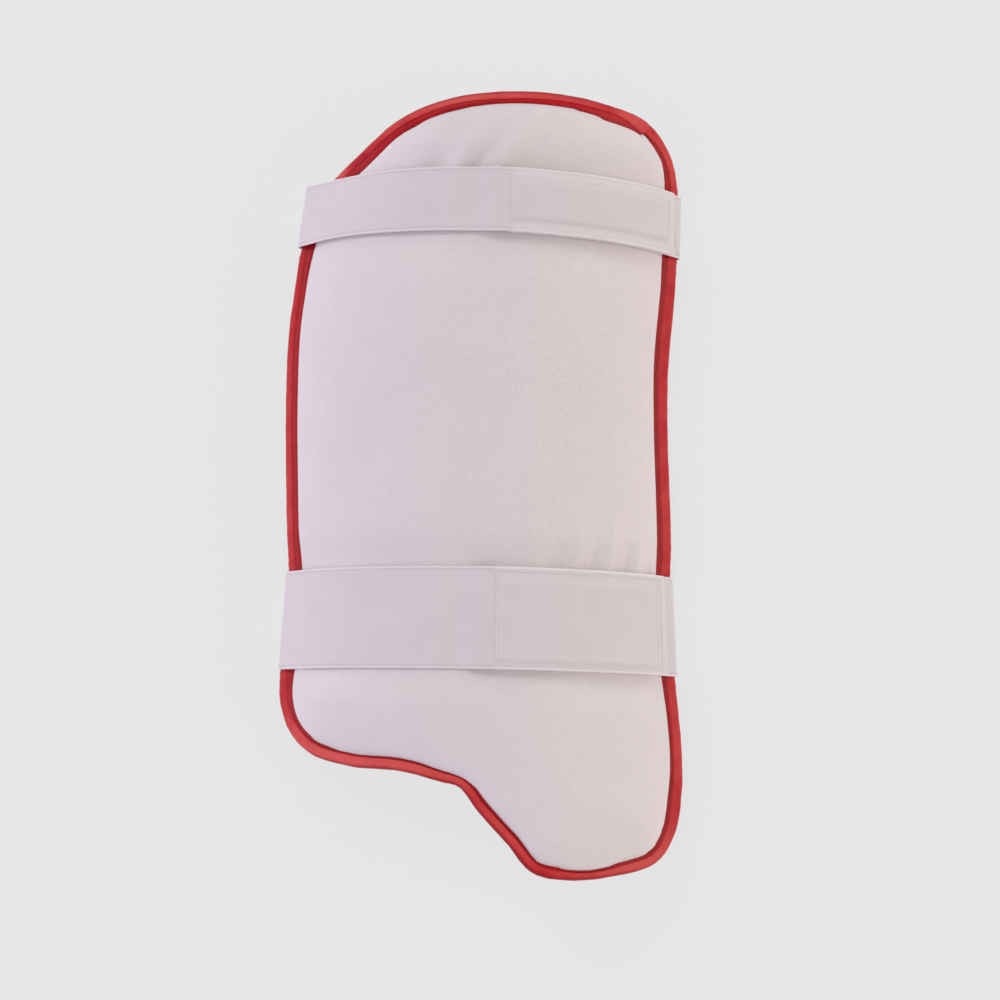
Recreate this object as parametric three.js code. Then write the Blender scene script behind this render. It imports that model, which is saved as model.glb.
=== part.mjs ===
// A cricket thigh guard: a padded panel arched to the thigh, its edge bound all round, and two
// elastic straps closed round it with hook tape. It lies on the flat back spans of the straps.
// X runs across the thigh, Y along it towards the hip, and Z out through the padded front.
import * as THREE from 'three';

// Driving dimensions, in millimetres
const PANEL_LENGTH = 389.5;       // hip end to knee end, over the binding
const PANEL_WIDTH = 209;          // between the widest points of the two long sides
const ARCH_HEIGHT = 50;           // rise of the panel's middle layer, from its long edges to its crown
const RIM_THICKNESS = 3.4;        // pad where it is sewn into the binding
const FRONT_SWELL = 12;           // foam in front of the rim's face
const BACK_SWELL = 5;             // foam behind the rim's back
const SWELL_REACH = 38;           // distance over which the foam grows to its full thickness
const BINDING_WALL = 1;
const BINDING_SHOWN = 6.3;        // width of the binding as it is seen from the front
const STRAP_THICKNESS = 1.3;
const TAPE_THICKNESS = 1;
const UPPER_STRAP_WIDTH = 32;
const LOWER_STRAP_WIDTH = 50;
const STRAP_PRESS = 3.5;          // depth to which a strap presses the foam
const PRESS_SHOULDER = 14;        // distance over which the foam comes back beside a strap
const STRAP_TAPER = 3.5;          // most that one edge of a strap runs tighter than the other
const LAYER_RAMP = 18;            // length in which the outer layer climbs onto the inner one
const END_SEAM = 2;               // flat seam beside the binding at the two ends of the guard
const SLOT_GAP = 0.6;             // pad to the inside of the binding
const FIT_GAP = 0.3;              // between any other pieces that lie on each other

const BINDING_THICKNESS = RIM_THICKNESS + 2 * (SLOT_GAP + BINDING_WALL);
const NOSE_RADIUS = BINDING_THICKNESS / 2;
const EDGE_HEIGHT = STRAP_THICKNESS + FIT_GAP + NOSE_RADIUS;
const LAYER_STEP = STRAP_THICKNESS + TAPE_THICKNESS + 2 * FIT_GAP;

// The two straps. Middle: place of the middle of the strap, as a share of the panel's length.
// Lap: where the inner end and the tape begin, right of the crown. End inset: from the right
// fold back to the outer end. Tape margins: strap left bare below and above the hook tape.
const STRAPS = {
  upper: { width: UPPER_STRAP_WIDTH, middle: 0.351, lap: 13, endInset: 5, tapeMargins: [5, 4] },
  lower: { width: LOWER_STRAP_WIDTH, middle: -0.176, lap: 11, endInset: 6, tapeMargins: [2.5, 2] },
};

// Outer edge of the binding, clockwise, as shares of the panel's width and length from its middle
const OUTLINE = [
  { across: 0.030, along: 0.498 },   // hip end
  { across: 0.172, along: 0.500 },
  { across: 0.289, along: 0.494 },
  { across: 0.375, along: 0.482 },
  { across: 0.429, along: 0.450 },
  { across: 0.451, along: 0.411 },   // right side, drawn in where the straps cross it
  { across: 0.456, along: 0.354 },
  { across: 0.454, along: 0.267 },
  { across: 0.442, along: 0.161 },
  { across: 0.444, along: 0.082 },
  { across: 0.459, along: -0.068 },
  { across: 0.458, along: -0.130 },
  { across: 0.470, along: -0.215 },
  { across: 0.495, along: -0.326 },
  { across: 0.499, along: -0.384 },
  { across: 0.484, along: -0.441 },  // knee lobe
  { across: 0.442, along: -0.477 },
  { across: 0.348, along: -0.494 },
  { across: 0.234, along: -0.500 },
  { across: 0.156, along: -0.491 },
  { across: 0.099, along: -0.457 },
  { across: 0.027, along: -0.416 },
  { across: -0.016, along: -0.388 }, // inner corner between the lobes
  { across: -0.059, along: -0.382 },
  { across: -0.159, along: -0.370 },
  { across: -0.284, along: -0.366 },
  { across: -0.397, along: -0.350 }, // inner thigh lobe
  { across: -0.458, along: -0.319 },
  { across: -0.483, along: -0.277 },
  { across: -0.477, along: -0.211 }, // left side
  { across: -0.470, along: -0.130 },
  { across: -0.481, along: -0.050 },
  { across: -0.494, along: 0.112 },
  { across: -0.493, along: 0.198 },
  { across: -0.483, along: 0.255 },
  { across: -0.463, along: 0.325 },
  { across: -0.402, along: 0.389 },  // left shoulder
  { across: -0.310, along: 0.430 },
  { across: -0.213, along: 0.467 },
  { across: -0.102, along: 0.488 },
];
const STATIONS_PER_ROW = 3;
const FINE_PER_ROW = 24;
// Stretch of each side, as shares of the length, whose edge lies straight on the arch's foot line
const SIDE_SPAN = { left: [-0.30, 0.33], right: [-0.385, 0.36] };

// The edge of the guard in plan: a smooth closed curve, set round the middle of its own box
function centredEdge() {
  const points = OUTLINE.map(
    ({ across, along }) => new THREE.Vector3(across * PANEL_WIDTH, along * PANEL_LENGTH, 0));
  const curve = new THREE.CatmullRomCurve3(points, true, 'centripetal');
  const box = new THREE.Box3().setFromPoints(curve.getPoints(OUTLINE.length * FINE_PER_ROW));
  const middle = box.getCenter(new THREE.Vector3());
  points.forEach((point) => point.sub(middle));
  return curve;
}

const edgeCurve = centredEdge();

// Places along the edge, with the inward direction and the middle of the binding's round nose
function edgePoints(perRow) {
  const count = OUTLINE.length * perRow;
  return Array.from({ length: count }, (_, i) => {
    const point = edgeCurve.getPoint(i / count);
    const tangent = edgeCurve.getTangent(i / count);
    const inward = new THREE.Vector3(tangent.y, -tangent.x, 0);
    return { point, inward, nose: point.clone().addScaledVector(inward, NOSE_RADIUS) };
  });
}

const fineEdge = edgePoints(FINE_PER_ROW);

// Where the middle of the binding's nose crosses a level: lowest and highest x
function noseSpan(y) {
  const crossings = [];
  fineEdge.forEach(({ nose: a }, i) => {
    const b = fineEdge[(i + 1) % fineEdge.length].nose;
    if ((a.y - y) * (b.y - y) <= 0 && a.y !== b.y) {
      crossings.push(a.x + (b.x - a.x) * (y - a.y) / (b.y - a.y));
    }
  });
  return [Math.min(...crossings), Math.max(...crossings)];
}

// The arch: a parabola across the guard, whose foot lies on the edge of each long side
const footTable = new Map();
function footDistance(x, y) {
  const side = x < 0 ? 'left' : 'right';
  const [low, high] = SIDE_SPAN[side].map((share) => share * PANEL_LENGTH);
  const level = THREE.MathUtils.clamp(y, low, high);
  const key = `${side}${level.toFixed(3)}`;
  if (!footTable.has(key)) footTable.set(key, Math.abs(noseSpan(level)[side === 'left' ? 0 : 1]));
  return footTable.get(key);
}

function archHeight(x, y) {
  return EDGE_HEIGHT + ARCH_HEIGHT * (1 - (x / footDistance(x, y)) ** 2);
}

// Upward normal of the arch within its cross-section
function archNormal(x, y) {
  const slope = -2 * ARCH_HEIGHT * x / footDistance(x, y) ** 2;
  return new THREE.Vector3(-slope, 0, 1).normalize();
}

// Frame of the binding at a place on the edge: nose middle, inward along the arch, and normal
function bindingFrame({ nose, inward }) {
  const centre = new THREE.Vector3(nose.x, nose.y, archHeight(nose.x, nose.y));
  const normal = archNormal(nose.x, nose.y);
  const reach = NOSE_RADIUS;
  const ahead = nose.clone().addScaledVector(inward, reach);
  const rise = archHeight(ahead.x, ahead.y) - centre.z;
  const along = new THREE.Vector3(inward.x, inward.y, rise / reach);
  along.addScaledVector(normal, -along.dot(normal)).normalize();
  const sine = along.z;
  const cosine = Math.hypot(along.x, along.y);
  const lip = (BINDING_SHOWN - NOSE_RADIUS + NOSE_RADIUS * sine) / cosine;
  const swellStart = BINDING_SHOWN + SLOT_GAP + NOSE_RADIUS * sine + END_SEAM * Math.abs(inward.y);
  return { centre, along, normal, lip, swellStart };
}

const fineFrames = fineEdge.map(bindingFrame);

// A share from 0 at a strap's shoulder to 1 under the strap
function pressAt(y) {
  const EASE = 1;
  return Math.max(...Object.values(STRAPS).map(({ width, middle }) => {
    const beyond = Math.abs(y - middle * PANEL_LENGTH) - width / 2 - EASE;
    return 1 - THREE.MathUtils.smoothstep(beyond, 0, PRESS_SHOULDER);
  }));
}

// Distance to the guard's edge in plan, and how far in from there the foam starts to grow
function nearestEdge(x, y) {
  let distance = Infinity;
  let start = 0;
  fineEdge.forEach(({ point }, i) => {
    const here = Math.hypot(point.x - x, point.y - y);
    if (here < distance) {
      distance = here;
      start = fineFrames[i].swellStart;
    }
  });
  return { distance, start };
}

const swellStartNear = (x, y) => nearestEdge(x, y).start;

// Half thickness of the pad in front of and behind the arch. The foam grows from the rim as a
// quarter ellipse, and the straps press its front.
function padHalves(x, y) {
  const { distance, start } = nearestEdge(x, y);
  const grown = THREE.MathUtils.clamp((distance - start) / SWELL_REACH, 0, 1);
  const swell = Math.sqrt(grown * (2 - grown));
  const rim = RIM_THICKNESS / 2;
  return { front: rim + (FRONT_SWELL - STRAP_PRESS * pressAt(y)) * swell, back: rim + BACK_SWELL * swell };
}

function padPoint(x, y, offset) {
  return new THREE.Vector3(x, y, archHeight(x, y)).addScaledVector(archNormal(x, y), offset);
}

// A closed body through rings of points, each four-sided face split along its shorter diagonal.
// An open run of rings is capped at both ends by joining each ring's first half to its second.
function loftedSolid(rings, closed) {
  const size = rings[0].length;
  const points = rings.flat();
  const index = [];
  const quad = (a, b, c, d) => {
    const firstIsShorter = points[a].distanceTo(points[c]) <= points[b].distanceTo(points[d]);
    index.push(...(firstIsShorter ? [a, b, c, a, c, d] : [a, b, d, b, c, d]));
  };
  const steps = closed ? rings.length : rings.length - 1;
  for (let row = 0; row < steps; row++) {
    const here = row * size;
    const next = ((row + 1) % rings.length) * size;
    for (let i = 0; i < size; i++) {
      const j = (i + 1) % size;
      quad(here + i, here + j, next + j, next + i);
    }
  }
  if (!closed) {
    const last = (rings.length - 1) * size;
    for (let i = 0; i < size / 2 - 1; i++) {
      const across = size - 1 - i;
      quad(i, across, across - 1, i + 1);
      quad(last + i, last + i + 1, last + across - 1, last + across);
    }
  }
  let volume = 0;
  for (let i = 0; i < index.length; i += 3) {
    const [a, b, c] = index.slice(i, i + 3).map((at) => points[at]);
    volume += a.dot(b.clone().cross(c));
  }
  if (volume < 0) index.reverse();
  const geometry = new THREE.BufferGeometry();
  geometry.setAttribute('position', new THREE.Float32BufferAttribute(points.flatMap((p) => p.toArray()), 3));
  geometry.setIndex(index);
  geometry.computeVertexNormals();
  return geometry;
}

// Pad: cross-sections from the hip end to the knee end, closer where the edge turns and where
// the straps press
function padGeometry() {
  const END_STEPS = [0.8, 4.6, 7, 11, 18];
  const ACROSS = 0.7;
  const BODY_STEP = 20;
  const LEAST_STEP = 0.3;
  const SWELL_STEPS = [0, 1.5, 6, 15, 33];
  const MIDDLE_COLUMNS = 7;
  const EDGE_TRIM = 0.75;
  const ends = fineEdge.map(({ nose }) => nose.y);
  const low = Math.min(...ends);
  const high = Math.max(...ends);
  const strapLevels = Object.values(STRAPS).flatMap(({ width, middle }) => {
    const half = width / 2;
    return [0, half + 0.5, half + PRESS_SHOULDER / 2, half + PRESS_SHOULDER + 1]
      .flatMap((reach) => [middle * PANEL_LENGTH - reach, middle * PANEL_LENGTH + reach]);
  });
  const edgeLevels = edgePoints(STATIONS_PER_ROW)
    .filter(({ inward }) => Math.abs(inward.y) > ACROSS).map(({ nose }) => nose.y);
  const fixed = [...END_STEPS.flatMap((step) => [low + step, high - step]), ...edgeLevels, ...strapLevels]
    .filter((y) => y >= low + END_STEPS[0] && y <= high - END_STEPS[0])
    .sort((a, b) => a - b).filter((y, i, all) => i === 0 || y - all[i - 1] > LEAST_STEP);
  const levels = fixed.flatMap((y, i) => {
    if (i === fixed.length - 1) return [y];
    const parts = Math.ceil((fixed[i + 1] - y) / BODY_STEP);
    return Array.from({ length: parts }, (_, k) => y + (fixed[i + 1] - y) * k / parts);
  });
  const sideSteps = (x, y) => {
    const start = swellStartNear(x, y) - NOSE_RADIUS;
    return [0, start / 2, ...SWELL_STEPS.map((step) => start + step)];
  };
  const rings = levels.map((y) => {
    const [left, right] = noseSpan(y);
    const leftSteps = sideSteps(left, y);
    const rightSteps = sideSteps(right, y);
    const taken = leftSteps.at(-1) + rightSteps.at(-1) + MIDDLE_COLUMNS;
    const scale = Math.min(1, (right - left) / taken);
    const inLeft = left + leftSteps.at(-1) * scale;
    const inRight = right - rightSteps.at(-1) * scale;
    const middle = Array.from({ length: MIDDLE_COLUMNS - 1 },
      (_, k) => THREE.MathUtils.lerp(inLeft, inRight, (k + 1) / MIDDLE_COLUMNS));
    const columns = [
      ...leftSteps.map((step) => left + step * scale), ...middle,
      ...rightSteps.map((step) => right - step * scale).reverse()];
    const halves = columns.map((x, i) => {
      const { front, back } = padHalves(x, y);
      const trim = i === 0 || i === columns.length - 1 ? EDGE_TRIM : 1;
      return { front: front * trim, back: back * trim };
    });
    return [
      ...columns.map((x, i) => padPoint(x, y, halves[i].front)),
      ...columns.map((x, i) => padPoint(x, y, -halves[i].back)).reverse(),
    ];
  });
  return loftedSolid(rings, false);
}

// Binding: a folded tape whose C section wraps the rim, carried round the whole edge
function bindingGeometry() {
  const inner = NOSE_RADIUS - BINDING_WALL;
  const half = Math.SQRT1_2;
  const wrap = (radius, lip) => [
    [lip, radius], [0, radius], [-half * radius, half * radius], [-radius, 0],
    [-half * radius, -half * radius], [0, -radius], [lip, -radius],
  ];
  const rings = edgePoints(STATIONS_PER_ROW).map((place) => {
    const { centre, along, normal, lip } = bindingFrame(place);
    return [...wrap(NOSE_RADIUS, lip), ...wrap(inner, lip).reverse()].map(([inwards, upwards]) =>
      centre.clone().addScaledVector(along, inwards).addScaledVector(normal, upwards));
  });
  return loftedSolid(rings, true);
}

// Directions in which a strap is pulled tight round the guard, in degrees clockwise from the
// front: close together over the arched front, wider round the folds, and one for the flat back
function strapDirections() {
  const FRONT_REACH = 64;
  const FRONT_STEP = 4;
  const FOLD_STEP = 17;
  const front = [];
  for (let angle = -FRONT_REACH; angle <= FRONT_REACH; angle += FRONT_STEP) front.push(angle);
  const fold = [];
  for (let angle = FRONT_REACH + FOLD_STEP; angle < 180 - FOLD_STEP / 2; angle += FOLD_STEP) fold.push(angle);
  return [...front, ...fold, 180, ...fold.map((angle) => 360 - angle).reverse()]
    .map((angle) => THREE.MathUtils.degToRad(angle));
}

const directionNormal = (angle) => new THREE.Vector2(Math.sin(angle), Math.cos(angle));

// How far the guard reaches in a direction, in the cross-section at a level
function reachIn(normal, section) {
  return Math.max(...section.map((point) => point.dot(normal)));
}

// Points of a cross-section that a strap bears on: the pad's front, the binding's lips and nose,
// and the nose of the fold, which the stiff strap keeps out where the edge turns away from it
function bearingPoints(y, folds) {
  const SAMPLES = 48;
  const NOSE_SAMPLES = 72;
  const [left, right] = noseSpan(y);
  const front = Array.from({ length: SAMPLES + 1 }, (_, i) => {
    const x = left + (right - left) * i / SAMPLES;
    const point = padPoint(x, y, padHalves(x, y).front);
    return new THREE.Vector2(point.x, point.z);
  });
  const round = (x, z) => Array.from({ length: NOSE_SAMPLES }, (_, i) => {
    const turn = 2 * Math.PI * i / NOSE_SAMPLES;
    return new THREE.Vector2(x + NOSE_RADIUS * Math.sin(turn), z + NOSE_RADIUS * Math.cos(turn));
  });
  const lips = fineFrames
    .filter(({ centre }) => Math.abs(centre.y - y) < UPPER_STRAP_WIDTH / 5)
    .map(({ centre, along, normal, lip }) => centre.clone().addScaledVector(along, lip)
      .addScaledVector(normal, NOSE_RADIUS))
    .map((point) => new THREE.Vector2(point.x, point.z));
  return [
    ...front, ...lips,
    ...round(left, archHeight(left, y)), ...round(right, archHeight(right, y)),
    ...round(Math.min(left, folds.left), EDGE_HEIGHT), ...round(Math.max(right, folds.right), EDGE_HEIGHT),
  ];
}

// The loop that a strap takes: for each direction a tangent line, at its lower and upper edge,
// outside everything between the two edges. Corners of the loop are where the lines meet.
function strapLoop({ width, middle }) {
  const STEPS = 6;
  const LEAST_SHARE = 0.1;
  const low = middle * PANEL_LENGTH - width / 2;
  const levels = Array.from({ length: STEPS + 1 }, (_, i) => low + width * i / STEPS);
  const spans = levels.map(noseSpan);
  const folds = {
    left: Math.min(...spans.map(([left]) => left)) + STRAP_TAPER,
    right: Math.max(...spans.map(([, right]) => right)) - STRAP_TAPER,
  };
  const sections = levels.map((y) => bearingPoints(y, folds));
  const lines = strapDirections().map((angle) => {
    const normal = directionNormal(angle);
    const reaches = sections.map((section) => reachIn(normal, section) + FIT_GAP);
    const lower = reaches[0];
    const upper = reaches.at(-1);
    const short = Math.max(...reaches.map((reach, i) => reach - lower - (upper - lower) * i / STEPS));
    return { normal, lower, upper, share: (1 + normal.y) / 2, short };
  });
  // A strap is straight across its width, so it stands off by what bulges between its edges: all
  // of it in front, half at the folds and nothing behind
  const standOff = Math.max(...lines.map(({ short, share }) => short / Math.max(share, LEAST_SHARE)));
  for (const line of lines) {
    line.lower += standOff * line.share;
    line.upper += standOff * line.share;
  }
  const corner = (a, b, edge) => {
    const cross = a.normal.x * b.normal.y - a.normal.y * b.normal.x;
    return new THREE.Vector2(
      (a[edge] * b.normal.y - b[edge] * a.normal.y) / cross,
      (a.normal.x * b[edge] - b.normal.x * a[edge]) / cross);
  };
  return lines.map((line, i) => {
    const next = lines[(i + 1) % lines.length];
    const bisector = line.normal.clone().add(next.normal).normalize();
    return {
      lower: corner(line, next, 'lower'),
      upper: corner(line, next, 'upper'),
      miter: bisector.divideScalar(bisector.dot(line.normal)),
      faceNormal: next.normal,
    };
  });
}

// A band that follows a strap's loop, clockwise from one place to another. A place is a turn, a
// corner and a share of the way to the next corner. Lift is the height over the loop.
function bandGeometry(loop, strap, places, lift, thickness, margins) {
  const low = strap.middle * PANEL_LENGTH - strap.width / 2;
  const rings = places.map((place) => {
    const at = loop[place.corner];
    const next = loop[(place.corner + 1) % loop.length];
    const direction = place.share === 0 ? at.miter : at.faceNormal;
    const base = lift(place);
    const corner = (fromLow, height) => {
      const share = fromLow / strap.width;
      const lower = at.lower.clone().lerp(next.lower, place.share);
      const upper = at.upper.clone().lerp(next.upper, place.share);
      const point = lower.lerp(upper, share).addScaledVector(direction, height);
      return new THREE.Vector3(point.x, low + fromLow, point.y);
    };
    const bottom = margins[0];
    const top = strap.width - margins[1];
    return [
      corner(bottom, base), corner(top, base),
      corner(top, base + thickness), corner(bottom, base + thickness),
    ];
  });
  return loftedSolid(rings, false);
}

// Place on the front of the loop, in the given turn, that lies at a distance right of the crown
function frontPlace(loop, x, turn) {
  const middleX = (corner) => (corner.lower.x + corner.upper.x) / 2;
  const corner = loop.findIndex((here, i) => {
    const next = loop[(i + 1) % loop.length];
    return here.lower.y > EDGE_HEIGHT && middleX(here) <= x && middleX(next) > x;
  });
  const from = middleX(loop[corner]);
  const to = middleX(loop[(corner + 1) % loop.length]);
  return { turn, corner, share: (x - from) / (to - from) };
}

// All places between two, with the corners that lie between them
function placesBetween(loop, start, end, extra = []) {
  const order = ({ turn, corner, share }) => turn * loop.length + corner + share;
  const places = [start, ...extra, end];
  for (let step = Math.floor(order(start)) + 1; step < order(end); step++) {
    places.push({ turn: Math.floor(step / loop.length), corner: step % loop.length, share: 0 });
  }
  const LEAST = 0.02;
  return places.sort((a, b) => order(a) - order(b))
    .filter((place, i, all) => i === 0 || i === all.length - 1 || order(place) - order(all[i - 1]) > LEAST);
}

// Strap: starts in front, right of the crown, goes clockwise round the right edge, across the
// back, round the left edge, and over its own start to its outer end near the right fold
function strapAndTape(strap) {
  const CLEAR = 2;
  const loop = strapLoop(strap);
  const rightFold = Math.max(...loop.map(({ lower, upper }) => Math.min(lower.x, upper.x)));
  const endX = rightFold - strap.endInset;
  const start = frontPlace(loop, strap.lap, 0);
  const end = frontPlace(loop, endX, 1);
  const rampEnd = frontPlace(loop, strap.lap - CLEAR, 1);
  const rampStart = frontPlace(loop, strap.lap - CLEAR - LAYER_RAMP, 1);
  const frontX = ({ corner, share }) => {
    const next = loop[(corner + 1) % loop.length];
    return THREE.MathUtils.lerp(loop[corner].lower.x, next.lower.x, share);
  };
  const lift = (place) => {
    if (place.turn < 1) return 0;
    const climbed = (frontX(place) - (strap.lap - CLEAR - LAYER_RAMP)) / LAYER_RAMP;
    return LAYER_STEP * THREE.MathUtils.smoothstep(climbed, 0, 1);
  };
  const places = placesBetween(loop, start, end, [rampStart, rampEnd]);
  const tapeStart = frontPlace(loop, strap.lap, 0);
  const tapeEnd = frontPlace(loop, endX - CLEAR, 0);
  return {
    band: bandGeometry(loop, strap, places, lift, STRAP_THICKNESS, [0, 0]),
    tape: bandGeometry(loop, strap, placesBetween(loop, tapeStart, tapeEnd),
      () => STRAP_THICKNESS + FIT_GAP, TAPE_THICKNESS, strap.tapeMargins),
  };
}

// Materials
const clothCover = new THREE.MeshStandardMaterial({ color: '#dccfd6', roughness: 0.92, metalness: 0 });
const redBinding = new THREE.MeshStandardMaterial({ color: '#c1343a', roughness: 0.42, metalness: 0 });
const wovenElastic = new THREE.MeshStandardMaterial({ color: '#d9ccd4', roughness: 0.88, metalness: 0 });
const hookTape = new THREE.MeshStandardMaterial({ color: '#e6dde2', roughness: 0.8, metalness: 0 });

function piece(name, geometry, material) {
  const mesh = new THREE.Mesh(geometry, material.clone());
  mesh.name = name;
  return mesh;
}

// Assembly
const guard = new THREE.Group();
guard.add(piece('pad_body', padGeometry(), clothCover));
guard.add(piece('edge_binding', bindingGeometry(), redBinding));
for (const [level, strap] of Object.entries(STRAPS)) {
  const { band, tape } = strapAndTape(strap);
  guard.add(piece(`${level}_strap`, band, wovenElastic));
  guard.add(piece(`${level}_hook_tape`, tape, hookTape));
}

export default guard;
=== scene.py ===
import math

import bpy
import numpy as np
from mathutils import Matrix, Vector


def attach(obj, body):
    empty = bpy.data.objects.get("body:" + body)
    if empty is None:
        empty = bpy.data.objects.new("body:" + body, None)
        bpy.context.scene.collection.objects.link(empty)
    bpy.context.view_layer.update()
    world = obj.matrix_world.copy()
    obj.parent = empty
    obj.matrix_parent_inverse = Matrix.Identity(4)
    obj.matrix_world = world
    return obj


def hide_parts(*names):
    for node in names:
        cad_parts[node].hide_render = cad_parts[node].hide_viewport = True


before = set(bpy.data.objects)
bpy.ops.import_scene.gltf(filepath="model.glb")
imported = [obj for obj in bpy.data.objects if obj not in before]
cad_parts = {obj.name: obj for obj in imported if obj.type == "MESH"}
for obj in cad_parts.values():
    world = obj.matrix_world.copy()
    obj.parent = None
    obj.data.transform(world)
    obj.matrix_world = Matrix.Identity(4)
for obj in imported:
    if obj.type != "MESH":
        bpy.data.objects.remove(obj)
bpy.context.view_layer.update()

# Camera
# A long lens 1.4 m above the guard, which lies on the flat backs of its straps. It looks a little
# from the right and from the knee end, and is turned slightly, as the photograph was taken.
MM = 0.001
DISTANCE = 1.4
LENS_MM, SENSOR_MM = 100.8, 36.0
CLIP_END = 20.0
AIM = Vector((9.9 * MM, -7.8 * MM, 29.4 * MM))
YAW, PITCH, ROLL = (math.radians(angle) for angle in (4.5, 5.4, 1.7))

forward = Vector((-math.sin(YAW) * math.cos(PITCH), math.sin(PITCH), -math.cos(YAW) * math.cos(PITCH)))
level = Vector((math.cos(YAW), 0.0, -math.sin(YAW)))
steep = level.cross(forward)
right = level * math.cos(ROLL) + steep * math.sin(ROLL)
up = steep * math.cos(ROLL) - level * math.sin(ROLL)
camera_data = bpy.data.cameras.new("camera")
camera_data.lens = LENS_MM
camera_data.sensor_width = SENSOR_MM
camera_data.clip_end = CLIP_END
camera = bpy.data.objects.new("camera", camera_data)
turn = Matrix((right, up, -forward)).transposed().to_4x4()
camera.matrix_world = Matrix.Translation(AIM - forward * DISTANCE) @ turn
bpy.context.scene.collection.objects.link(camera)
bpy.context.scene.camera = camera
bpy.context.scene.view_settings.view_transform = "Standard"

# Floor and light
# A table of lit white acrylic, even and nearly shadowless, under a soft white sky. A lilac light
# comes from the left and a warm one from the right, weaker ones from both ends, and a key from
# the upper left drops a faint shadow below the knee end.
TABLE_GLOW, TABLE_DIFFUSE = "#DBDBDB", "#575757"
FLOOR_SIZE = 14.0
SKY, SKY_STRENGTH = "#FAFAFA", 0.47
SUNS = (  # name, direction it shines in, spread in degrees, strength, colour
    ("left_light", (1.0, 0.35, -0.16), 60, 1.35, "#E8D8FF"),
    ("right_light", (-1.0, 0.15, -0.16), 60, 1.75, "#FFEFE4"),
    ("far_light", (0.0, -1.0, -0.4), 70, 0.38, "#F9FDFF"),
    ("near_light", (0.0, 1.0, -0.3), 70, 0.24, "#F9FDFF"),
    ("key_light", (0.5, -0.7, -0.8), 22, 0.8, "#FFFDFB"),
)


def linear(colour):
    """sRGB hex to linear RGBA: each channel c is c/12.92 in the dark, else ((c+0.055)/1.055)^2.4."""
    channels = [int(colour[i:i + 2], 16) / 255 for i in (1, 3, 5)]
    return [c / 12.92 if c <= 0.04045 else ((c + 0.055) / 1.055) ** 2.4 for c in channels] + [1.0]


def add_node(tree, kind, inputs=None, **settings):
    """Add a node with its settings. Each input is a value, or a socket to link from."""
    made = tree.nodes.new(kind)
    for name, value in settings.items():
        setattr(made, name, value)
    for name, value in (inputs or {}).items():
        if isinstance(value, bpy.types.NodeSocket):
            tree.links.new(value, made.inputs[name])
        else:
            made.inputs[name].default_value = value
    return made


def new_material(name):
    """An empty node material with its output, ready for a surface."""
    material = bpy.data.materials.new(name)
    material.use_nodes = True
    material.node_tree.nodes.clear()
    return material, material.node_tree


def finish_material(tree, surface):
    """Lead a surface to the material's output."""
    add_node(tree, "ShaderNodeOutputMaterial", {"Surface": surface})


def soft_sun(name, towards, spread, strength, colour):
    """A far light that shines along a direction, as soft as its spread in degrees."""
    light = bpy.data.lights.new(name, "SUN")
    light.angle = math.radians(spread)
    light.energy = strength
    light.color = linear(colour)[:3]
    lamp = bpy.data.objects.new(name, light)
    lamp.matrix_world = Vector(towards).to_track_quat("-Z", "Y").to_matrix().to_4x4()
    bpy.context.scene.collection.objects.link(lamp)


world = bpy.data.worlds.new("studio")
world.use_nodes = True
sky = world.node_tree.nodes["Background"]
sky.inputs["Color"].default_value = linear(SKY)
sky.inputs["Strength"].default_value = SKY_STRENGTH
bpy.context.scene.world = world
for sun in SUNS:
    soft_sun(*sun)

table, tree = new_material("lit_white_acrylic")
glow = add_node(tree, "ShaderNodeEmission", {"Color": linear(TABLE_GLOW), "Strength": 1.0})
skin = add_node(tree, "ShaderNodeBsdfPrincipled", {
    "Base Color": linear(TABLE_DIFFUSE), "Roughness": 0.9, "Specular IOR Level": 0.1})
both = add_node(tree, "ShaderNodeAddShader")
tree.links.new(glow.outputs["Emission"], both.inputs[0])
tree.links.new(skin.outputs["BSDF"], both.inputs[1])
finish_material(tree, both.outputs["Shader"])
half = FLOOR_SIZE / 2
corners = [(-half, -half, 0), (half, -half, 0), (half, half, 0), (-half, half, 0)]
floor_mesh = bpy.data.meshes.new("floor")
floor_mesh.from_pydata(corners, [], [(0, 1, 2, 3)])
floor_mesh.materials.append(table)
floor = bpy.data.objects.new("floor", floor_mesh)
bpy.context.scene.collection.objects.link(floor)

# Padded panel
# The panel is a sheet of foam in a smooth cotton cover, arched to the thigh. It is thin at its
# sewn rim, swells in front and behind, and the two straps press a shallow band across its front.
PANEL_LENGTH, PANEL_WIDTH, ARCH_HEIGHT = (size * MM for size in (389.5, 209.0, 50.0))
RIM_THICKNESS, FRONT_SWELL, BACK_SWELL, SWELL_REACH = (size * MM for size in (3.4, 12.0, 5.0, 38.0))
STRAP_PRESS, PRESS_SHOULDER = 3.5 * MM, 18.0 * MM
BINDING_WALL, SLOT_GAP = 1.0 * MM, 0.6 * MM
STRAP_THICKNESS, TAPE_THICKNESS, FIT_GAP = 1.3 * MM, 1.0 * MM, 0.3 * MM
NOSE_RADIUS = RIM_THICKNESS / 2 + SLOT_GAP + BINDING_WALL
EDGE_HEIGHT = STRAP_THICKNESS + FIT_GAP + NOSE_RADIUS
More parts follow.
